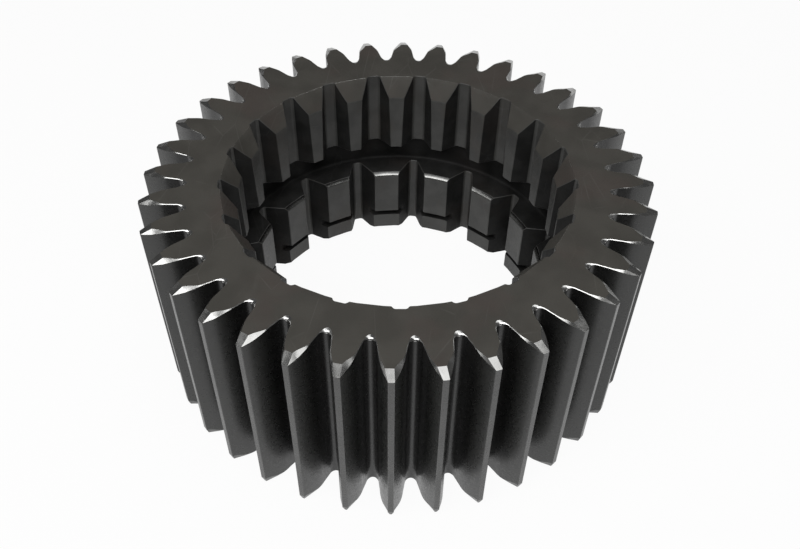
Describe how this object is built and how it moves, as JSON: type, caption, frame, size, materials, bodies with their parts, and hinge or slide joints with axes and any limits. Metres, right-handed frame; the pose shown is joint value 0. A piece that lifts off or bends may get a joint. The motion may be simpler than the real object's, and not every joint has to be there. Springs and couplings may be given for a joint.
{
  "type": "input shaft gear",
  "caption": "Thick steel ring gear with straight outer teeth and two toothed bands in its bore, one for a sliding clutch and one for a splined shaft.",
  "frame": {"origin": "centre of the bore at the lower end face, on which the gear lies", "axes": "+Z along the bore axis, from the lower end face to the end with the clutch teeth and the wide bevels; -Y through the middle of one outer tooth"},
  "size_m": [0.16, 0.16, 0.0682],
  "materials": {
    "dark_steel": "hardened steel with a dark satin phosphate finish, bare metal on the tooth end bevels"
  },
  "bodies": {
    "root": {"input_shaft_gear": "dark_steel"}
  },
  "joints": []
}
